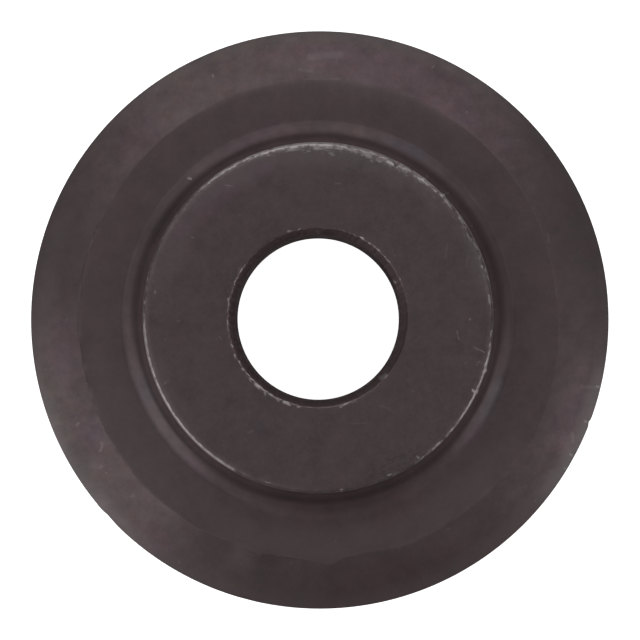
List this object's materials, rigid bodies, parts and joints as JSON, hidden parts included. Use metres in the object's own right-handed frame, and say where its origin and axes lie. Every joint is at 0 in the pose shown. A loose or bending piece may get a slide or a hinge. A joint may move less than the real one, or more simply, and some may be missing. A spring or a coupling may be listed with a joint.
{
  "type": "pipe cutter wheel",
  "caption": "Hardened steel disc with a ground V edge and a long plain hub, which runs on the pin of a pipe cutter and is pressed into the pipe.",
  "frame": {"origin": "centre of the wheel: the point on the bore's axis that lies in the plane of the cutting edge, halfway between the two hub faces", "axes": "+Z along the bore, at right angles to the plane of the cutting edge; the wheel lies on its lower hub face at z = -9 mm; X and Y lie in the plane of the edge and are alike"},
  "size_m": [0.032, 0.032, 0.018],
  "materials": {
    "blackened_steel": "black oxide over turned and ground tool steel, slightly oily, worn to bright steel on the corners of the hub and bore"
  },
  "bodies": {
    "root": {"cutter_wheel": "blackened_steel"}
  },
  "joints": []
}
